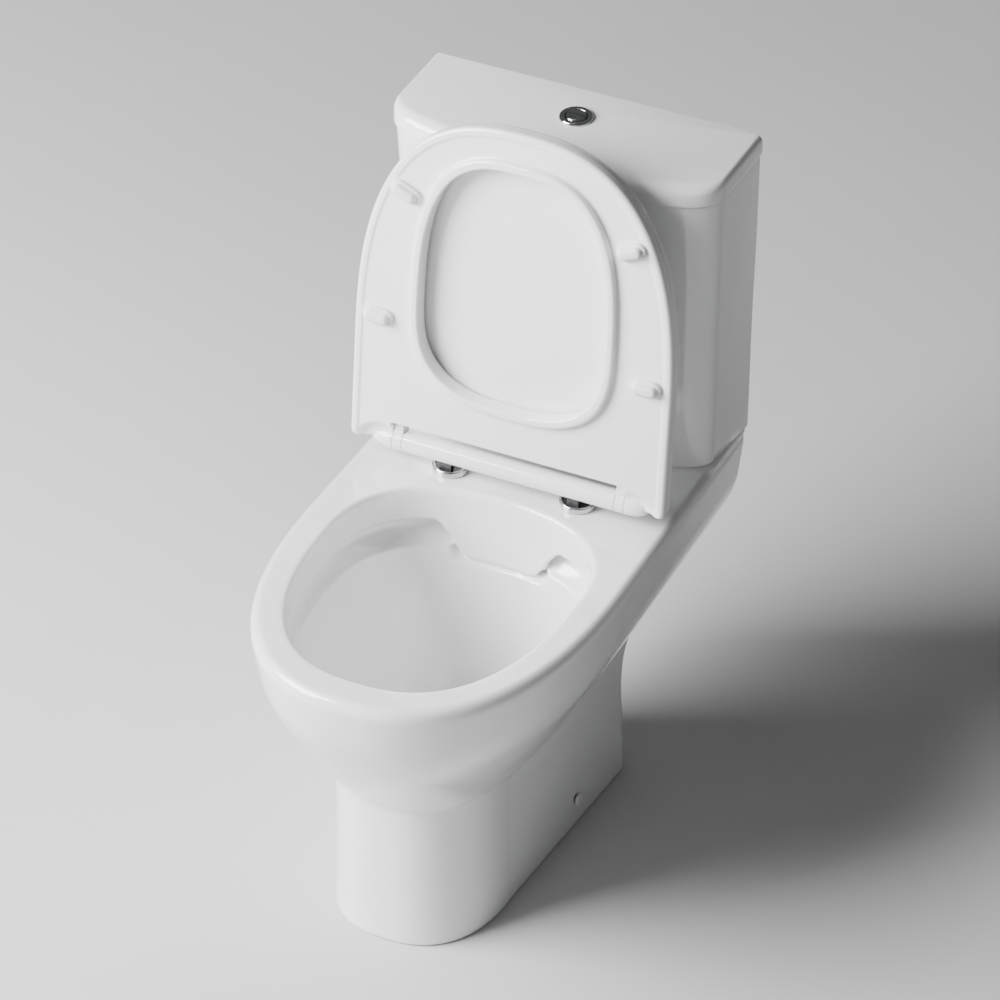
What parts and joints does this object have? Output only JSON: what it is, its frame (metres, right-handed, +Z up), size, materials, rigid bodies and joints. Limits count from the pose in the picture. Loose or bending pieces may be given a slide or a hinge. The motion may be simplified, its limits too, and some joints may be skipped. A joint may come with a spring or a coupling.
{
  "type": "close coupled toilet",
  "caption": "Close coupled toilet: floor standing rimless pan, cistern with dual flush button and valves, and a soft close seat and cover that fold up on one hinge bar.",
  "frame": {"origin": "on the floor, midway across the toilet and midway between the front of the pan and the back of the cistern", "axes": "+Z up, +Y towards the wall behind the cistern, +X across to the right as seen from the front"},
  "size_m": [0.394, 0.642, 0.8471],
  "materials": {
    "china": "glossy white glaze",
    "chrome": "polished",
    "seat_plastic": "glossy white",
    "hinge_plastic": "glossy white",
    "buffer_plastic": "soft satin white",
    "black_rubber": "matt",
    "dark_plastic": "satin",
    "white_valve_plastic": "satin moulded",
    "grey_valve_plastic": "satin moulded",
    "steel": "zinc plated"
  },
  "bodies": {
    "pan_and_cistern": {"pan": "china", "cistern_tank": "china", "flush_valve_base": "white_valve_plastic", "flush_valve_tower": "white_valve_plastic", "flush_back_nut": "grey_valve_plastic", "coupling_seal": "black_rubber", "fill_valve_body": "white_valve_plastic", "fill_valve_head": "grey_valve_plastic", "fill_washer": "black_rubber", "fill_back_nut": "white_valve_plastic", "hinge_bar": "hinge_plastic", "hinge_damper_left": "grey_valve_plastic", "hinge_pin_left": "steel", "hinge_post_left": "dark_plastic", "hinge_cup_left": "chrome", "hinge_bolt_left": "steel", "hinge_nut_left": "white_valve_plastic", "coupling_bolt_left": "steel", "cone_washer_left": "black_rubber", "wing_nut_left": "white_valve_plastic", "floor_bracket_left": "grey_valve_plastic", "side_screw_left": "steel", "side_cap_left": "buffer_plastic", "hinge_damper_right": "grey_valve_plastic", "hinge_pin_right": "steel", "hinge_post_right": "dark_plastic", "hinge_cup_right": "chrome", "hinge_bolt_right": "steel", "hinge_nut_right": "white_valve_plastic", "coupling_bolt_right": "steel", "cone_washer_right": "black_rubber", "wing_nut_right": "white_valve_plastic", "floor_bracket_right": "grey_valve_plastic", "side_screw_right": "steel", "side_cap_right": "buffer_plastic"},
    "cistern_lid": {"cistern_lid": "china", "button_bezel": "chrome", "button_housing": "white_valve_plastic", "button_nut": "grey_valve_plastic"},
    "button_full": {"button_full": "chrome", "push_rod_full": "grey_valve_plastic", "button_spring_full": "steel"},
    "button_half": {"button_half": "chrome", "push_rod_half": "grey_valve_plastic", "button_spring_half": "steel"},
    "flush_valve": {"overflow_tube": "grey_valve_plastic", "valve_seal": "black_rubber"},
    "half_float": {"half_flush_float": "white_valve_plastic"},
    "fill_float": {"fill_float": "grey_valve_plastic"},
    "fill_arm": {"fill_valve_arm": "white_valve_plastic"},
    "cover": {"seat_cover": "seat_plastic", "cover_buffer_left": "buffer_plastic", "cover_buffer_right": "buffer_plastic"},
    "seat": {"seat_ring": "seat_plastic", "seat_buffer_1": "buffer_plastic", "seat_buffer_2": "buffer_plastic", "seat_buffer_3": "buffer_plastic", "seat_buffer_4": "buffer_plastic"}
  },
  "joints": [
    {"name": "cover_hinge", "type": "hinge", "parent": "pan_and_cistern", "child": "cover", "pos_m": [0, 0.1015, 0.427], "axis": [1, 0, 0], "range_deg": [0, 96]},
    {"name": "seat_hinge", "type": "hinge", "parent": "cover", "child": "seat", "pos_m": [0, 0.1015, 0.427], "axis": [-1, 0, 0], "range_deg": [-96, 0]},
    {"name": "lid_lift", "type": "slide", "parent": "pan_and_cistern", "child": "cistern_lid", "axis": [0, 0, 1], "range_m": [0, 0.06]},
    {"name": "full_flush_press", "type": "slide", "parent": "cistern_lid", "child": "button_full", "axis": [0, 0, -1], "range_m": [0, 0.005], "stiffness_N_per_m": 300, "springref_m": -0.005, "deforming": ["button_spring_full"]},
    {"name": "half_flush_press", "type": "slide", "parent": "cistern_lid", "child": "button_half", "axis": [0, 0, -1], "range_m": [0, 0.005], "stiffness_N_per_m": 300, "springref_m": -0.005, "deforming": ["button_spring_half"]},
    {"name": "flush_valve_lift", "type": "slide", "parent": "pan_and_cistern", "child": "flush_valve", "axis": [0, 0, 1], "range_m": [0, 0.01]},
    {"name": "half_float_lift", "type": "slide", "parent": "pan_and_cistern", "child": "half_float", "axis": [0, 0, 1], "range_m": [0, 0.01]},
    {"name": "float_rise", "type": "slide", "parent": "pan_and_cistern", "child": "fill_float", "axis": [0, 0, 1], "range_m": [0, 0.012]},
    {"name": "float_arm", "type": "hinge", "parent": "pan_and_cistern", "child": "fill_arm", "pos_m": [-0.144, 0.246, 0.668], "axis": [0, -1, 0], "range_deg": [0, 18]}
  ],
  "couplings": [
    {"joint": "flush_valve_lift", "follows": "full_flush_press", "ratio": 2},
    {"joint": "half_float_lift", "follows": "half_flush_press", "ratio": 2},
    {"joint": "float_arm", "follows": "float_rise", "rad_per_m": 25.64}
  ]
}
